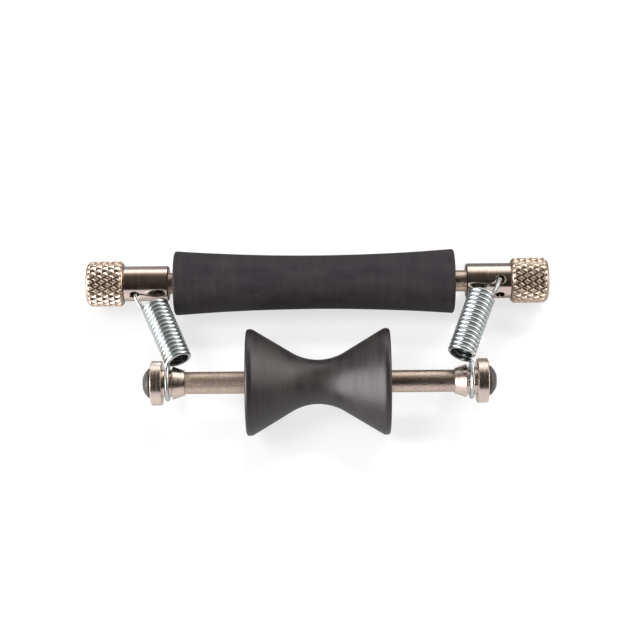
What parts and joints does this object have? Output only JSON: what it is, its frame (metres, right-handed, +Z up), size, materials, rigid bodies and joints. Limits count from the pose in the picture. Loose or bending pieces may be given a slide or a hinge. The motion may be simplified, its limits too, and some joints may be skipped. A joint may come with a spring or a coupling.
{
  "type": "hand grip strengthener",
  "caption": "Hand grip strengthener: a palm bar with a rubber grip and knurled end knobs, joined by extension springs to a shorter thumb bar with an hourglass roller.",
  "frame": {"origin": "centre of the footprint on the floor that the part rests on", "axes": "+X along both bars, +Y from the thumb bar towards the palm bar, +Z up"},
  "size_m": [0.1672, 0.0695, 0.0378],
  "materials": {
    "nickel_rod": "satin nickel plate, slightly mottled",
    "nickel_barrel": "smooth bright nickel plate",
    "knurled_nickel": "diamond knurl under bright nickel plate",
    "zinc_wire": "bright zinc plate",
    "grip_rubber": "matte moulded rubber",
    "roller_rubber": "matte moulded rubber with faint flow marks",
    "dark_screw": "blackened steel, semi-gloss"
  },
  "bodies": {
    "thumb_bar": {"thumb_rod": "nickel_rod", "spool_left": "nickel_barrel", "spool_right": "nickel_barrel", "end_screw_left": "dark_screw", "end_screw_right": "dark_screw"},
    "roller": {"thumb_roller": "roller_rubber"},
    "springs": {"spring_left": "zinc_wire", "spring_right": "zinc_wire"},
    "palm_bar": {"palm_rod": "nickel_rod", "hook_barrel_left": "nickel_barrel", "hook_barrel_right": "nickel_barrel"},
    "grip": {"palm_grip": "grip_rubber"},
    "left_knob": {"knob_left": "knurled_nickel"},
    "right_knob": {"knob_right": "knurled_nickel"}
  },
  "joints": [
    {"name": "roller_spin", "type": "hinge", "parent": "thumb_bar", "child": "roller", "pos_m": [0, -0.01588, 0.0189], "axis": [1, 0, 0], "continuous": true},
    {"name": "spring_swing", "type": "hinge", "parent": "thumb_bar", "child": "springs", "pos_m": [0, -0.01588, 0.0189], "axis": [1, 0, 0], "continuous": true},
    {"name": "bar_stretch", "type": "slide", "parent": "springs", "child": "palm_bar", "axis": [0, 0.9837, -0.1797], "range_m": [0, 0.013], "stiffness_N_per_m": 15000, "deforming": ["spring_left", "spring_right"]},
    {"name": "grip_spin", "type": "hinge", "parent": "palm_bar", "child": "grip", "pos_m": [0, 0.02298, 0.0118], "axis": [1, 0, 0], "continuous": true},
    {"name": "left_knob_turn", "type": "hinge", "parent": "palm_bar", "child": "left_knob", "pos_m": [0, 0.02298, 0.0118], "axis": [1, 0, 0], "continuous": true},
    {"name": "right_knob_turn", "type": "hinge", "parent": "palm_bar", "child": "right_knob", "pos_m": [0, 0.02298, 0.0118], "axis": [1, 0, 0], "continuous": true}
  ]
}
